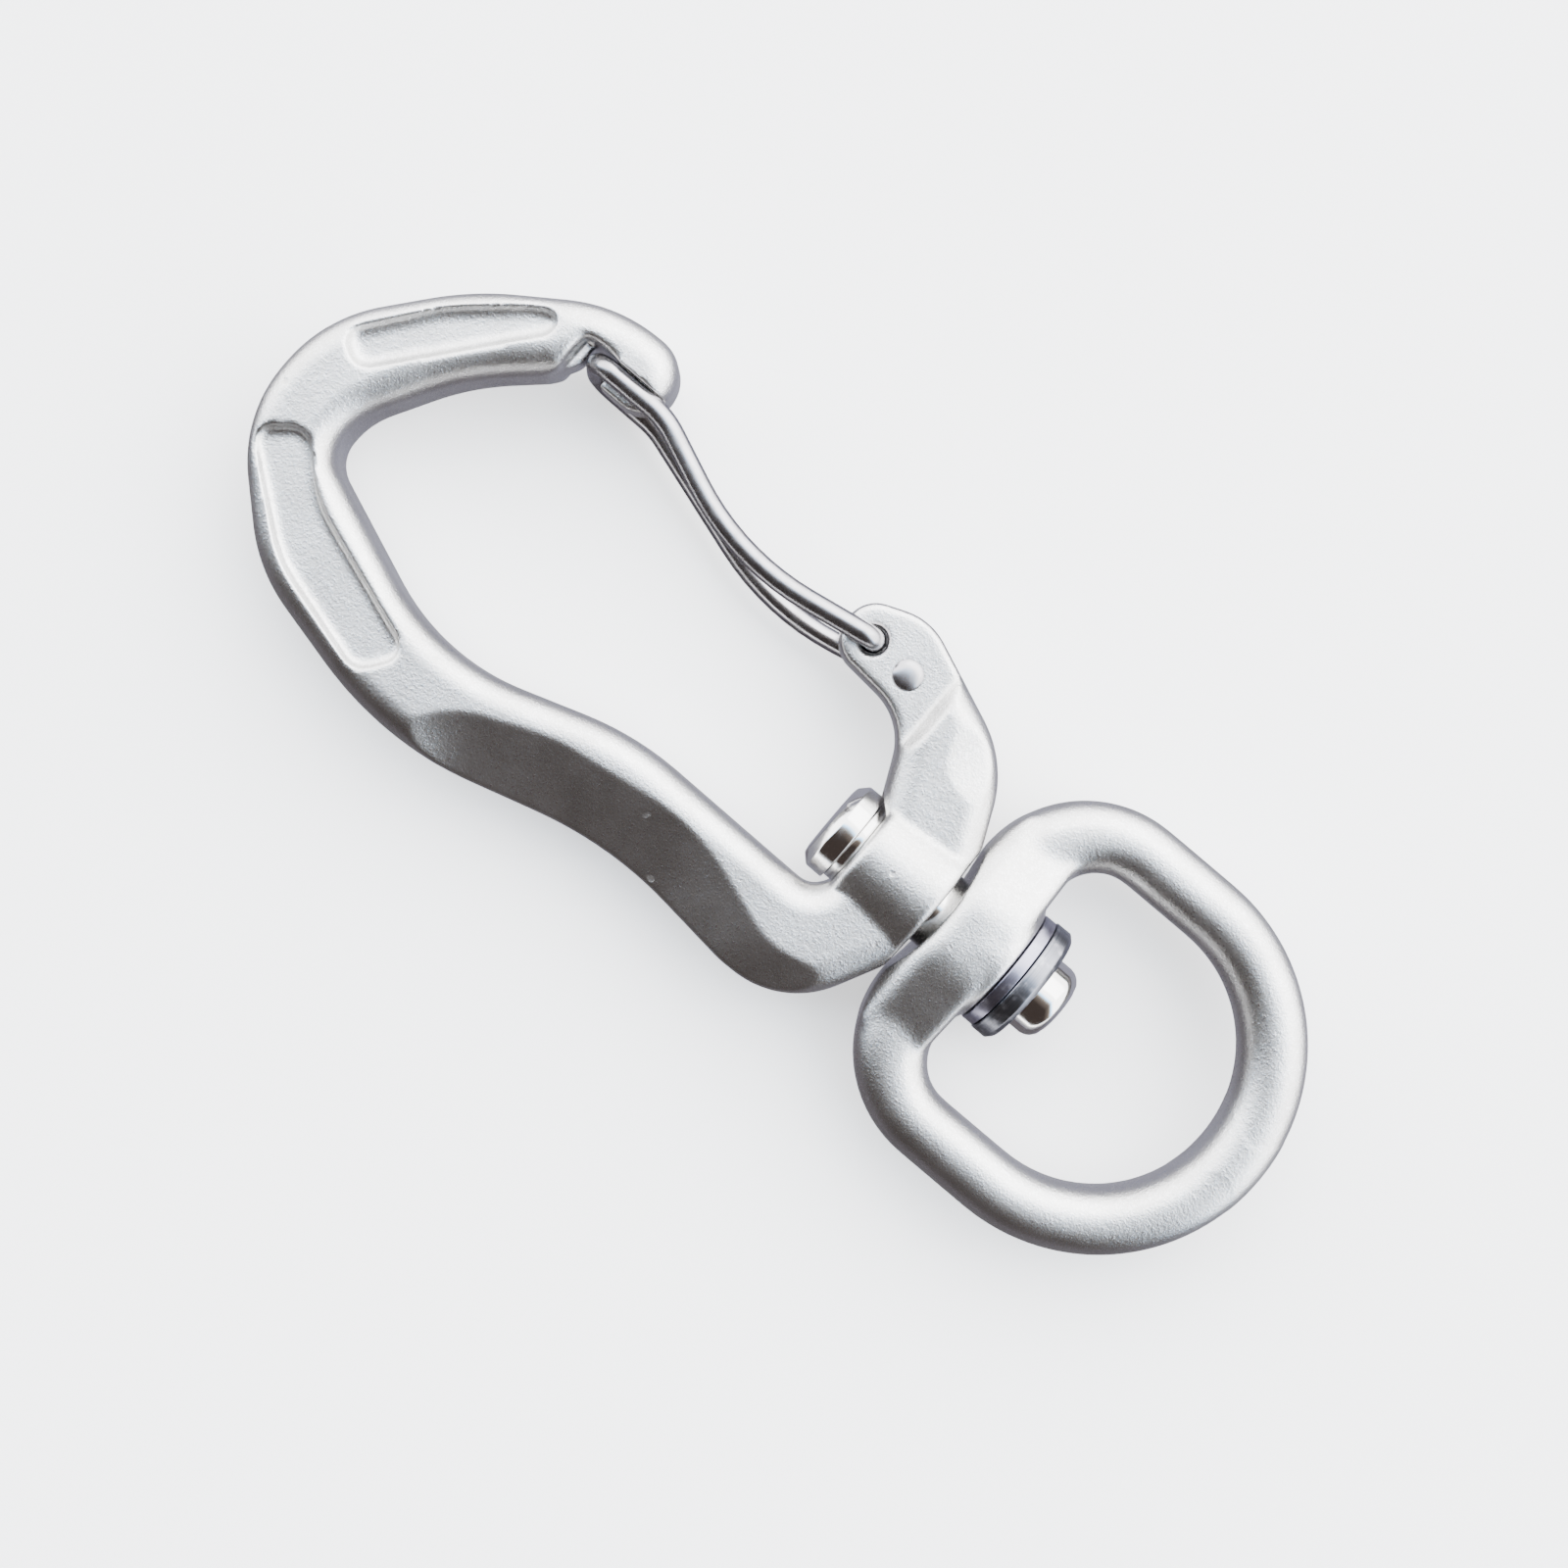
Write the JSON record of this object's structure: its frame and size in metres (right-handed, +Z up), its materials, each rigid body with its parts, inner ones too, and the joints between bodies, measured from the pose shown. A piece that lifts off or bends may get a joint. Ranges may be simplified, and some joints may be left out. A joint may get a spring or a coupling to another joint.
{
  "type": "snap shackle",
  "caption": "Light-alloy snap hook with a sprung wire gate across its mouth and a D-shaped swivel eye that turns on a headed pin.",
  "frame": {"origin": "on the surface the part lies on, below the centre of its bounding box, gate closed", "axes": "+X along the swivel axis from the hook to the eye, +Y from the spine towards the gate, +Z up, square to the plane of the hook"},
  "size_m": [0.117, 0.0436, 0.0136],
  "materials": {
    "blasted_alloy": "bead blasted, clear anodised, satin",
    "spring_wire": "drawn stainless spring wire, smooth",
    "polished_steel": "turned and polished stainless steel",
    "washer_steel": "dark bluish turned steel"
  },
  "bodies": {
    "hook": {"hook_body": "blasted_alloy", "gate_wire_anchor_end": "spring_wire"},
    "gate": {"gate_wire": "spring_wire"},
    "pin": {"swivel_pin": "polished_steel", "retaining_washer": "washer_steel"},
    "head_washer": {"head_washer": "polished_steel"},
    "inner_washer": {"inner_washer": "washer_steel"},
    "eye": {"swivel_eye": "blasted_alloy"}
  },
  "joints": [
    {"name": "gate_hinge", "type": "hinge", "parent": "hook", "child": "gate", "pos_m": [-0.00085, 0.01326, 0.0068], "axis": [0, 0, 1], "range_deg": [0, 43], "stiffness_Nm_per_rad": 0.3, "springref_deg": -20.05},
    {"name": "pin_turn", "type": "hinge", "parent": "hook", "child": "pin", "pos_m": [0.0192, -0.00179, 0.0068], "axis": [1, 0, 0], "continuous": true},
    {"name": "eye_swivel", "type": "hinge", "parent": "hook", "child": "eye", "pos_m": [0.0192, -0.00179, 0.0068], "axis": [1, 0, 0], "continuous": true},
    {"name": "head_washer_turn", "type": "hinge", "parent": "pin", "child": "head_washer", "pos_m": [0.0192, -0.00179, 0.0068], "axis": [1, 0, 0], "continuous": true},
    {"name": "inner_washer_turn", "type": "hinge", "parent": "pin", "child": "inner_washer", "pos_m": [0.0192, -0.00179, 0.0068], "axis": [1, 0, 0], "continuous": true}
  ]
}
